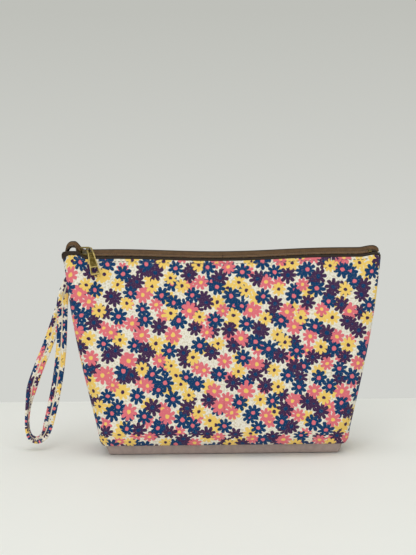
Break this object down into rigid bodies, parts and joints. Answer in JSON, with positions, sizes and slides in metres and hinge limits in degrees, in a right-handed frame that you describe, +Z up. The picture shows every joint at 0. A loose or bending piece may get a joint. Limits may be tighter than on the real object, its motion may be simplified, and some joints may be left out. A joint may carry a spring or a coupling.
{
  "type": "zippered pouch",
  "caption": "Boxed-base canvas cosmetic pouch with a sliding coil zipper along the top, hinged walls that part, a hanging pull and a side wrist strap.",
  "frame": {"origin": "middle of the flat base, on the surface the pouch stands on", "axes": "+X along the zipper away from the wrist strap, front of the pouch towards -Y, +Z up"},
  "size_m": [0.2807, 0.06, 0.1635],
  "materials": {
    "canvas": "printed plain-weave cotton canvas",
    "strap": "folded printed canvas",
    "lining": "plain woven lining",
    "seam": "pressed canvas edges",
    "tape": "woven zipper tape",
    "coil": "nylon monofilament",
    "brass": "antique, worn bright on the edges",
    "thread": "spun polyester thread",
    "dark_thread": "spun polyester thread"
  },
  "bodies": {
    "pouch_body": {"base_canvas": "canvas", "left_side_canvas": "canvas", "right_side_canvas": "canvas", "base_lining": "lining", "left_side_lining": "lining", "right_side_lining": "lining", "left_tape_ends": "tape", "right_tape_ends": "tape", "left_coil_ends": "coil", "right_coil_ends": "coil", "left_end_tacks": "dark_thread", "right_end_stop": "brass", "left_topstitch": "thread", "right_topstitch": "thread", "left_side_seam": "seam", "right_side_seam": "seam", "bottom_seam": "seam", "corner_seams": "seam"},
    "front_wall": {"front_canvas": "canvas", "front_lining": "lining", "front_tape": "tape", "front_coil": "coil", "front_topstitch": "thread"},
    "back_wall": {"back_canvas": "canvas", "back_lining": "lining", "back_tape": "tape", "back_coil": "coil", "back_topstitch": "thread"},
    "slider": {"slider_body": "brass"},
    "pull": {"pull_tab": "brass"},
    "strap_root": {"strap_neck": "strap", "strap_tack": "thread"},
    "strap_loop": {"wrist_strap": "strap"}
  },
  "joints": [
    {"name": "slider_travel", "type": "slide", "parent": "pouch_body", "child": "slider", "axis": [1, 0, 0], "range_m": [0, 0.205]},
    {"name": "pull_lift", "type": "hinge", "parent": "slider", "child": "pull", "pos_m": [-0.1049, -0.00142, 0.16131], "axis": [-1, 0, 0], "range_deg": [0, 55]},
    {"name": "front_wall_open", "type": "hinge", "parent": "pouch_body", "child": "front_wall", "pos_m": [0, -0.03, 0], "axis": [1, 0, 0], "range_deg": [0, 12]},
    {"name": "back_wall_open", "type": "hinge", "parent": "pouch_body", "child": "back_wall", "pos_m": [0, 0.03, 0], "axis": [-1, 0, 0], "range_deg": [0, 12]},
    {"name": "strap_swing", "type": "hinge", "parent": "pouch_body", "child": "strap_root", "pos_m": [-0.12207, 0, 0.128], "axis": [1, 0, 0], "range_deg": [-60, 60]},
    {"name": "strap_lift", "type": "hinge", "parent": "strap_root", "child": "strap_loop", "pos_m": [-0.1236, 0, 0.12015], "axis": [0, 1, 0], "range_deg": [0, 110]}
  ]
}
